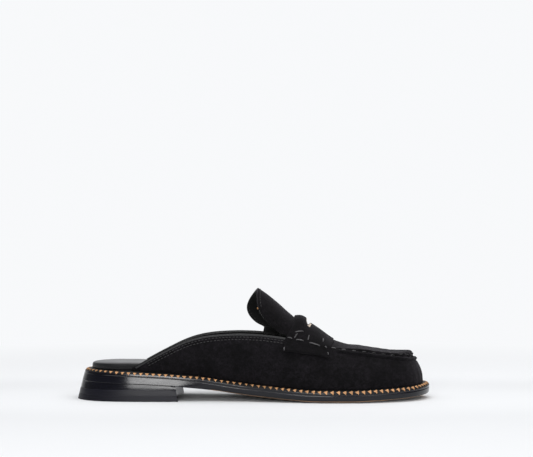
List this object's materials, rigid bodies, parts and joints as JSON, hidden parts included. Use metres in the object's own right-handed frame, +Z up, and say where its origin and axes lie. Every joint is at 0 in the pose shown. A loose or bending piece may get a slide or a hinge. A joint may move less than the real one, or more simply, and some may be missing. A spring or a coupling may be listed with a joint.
{
  "type": "loafer mule",
  "caption": "Backless loafer with a saddle strap, raised apron seam, flared tongue, stitched welt, leather sole and low stacked heel.",
  "frame": {"origin": "centre of the bounding box at floor level, with the shoe standing on its sole", "axes": "+X along the shoe towards the toe, +Y towards the inner side of the foot, +Z up"},
  "size_m": [0.268, 0.093, 0.0836],
  "materials": {
    "suede": "black suede with a short soft nap",
    "lining_leather": "smooth black leather, soft sheen",
    "welt_leather": "black waxed leather with tan thread",
    "sole_leather": "black inked and polished edge",
    "heel_leather": "black polished stacked leather",
    "heel_rubber": "matt black rubber"
  },
  "bodies": {
    "root": {"top_lift": "heel_rubber", "heel_lift_1": "heel_leather", "heel_lift_2": "heel_leather", "outsole": "sole_leather", "welt": "welt_leather", "insole": "lining_leather", "upper": "suede", "tongue": "suede", "strap": "suede"}
  },
  "joints": []
}
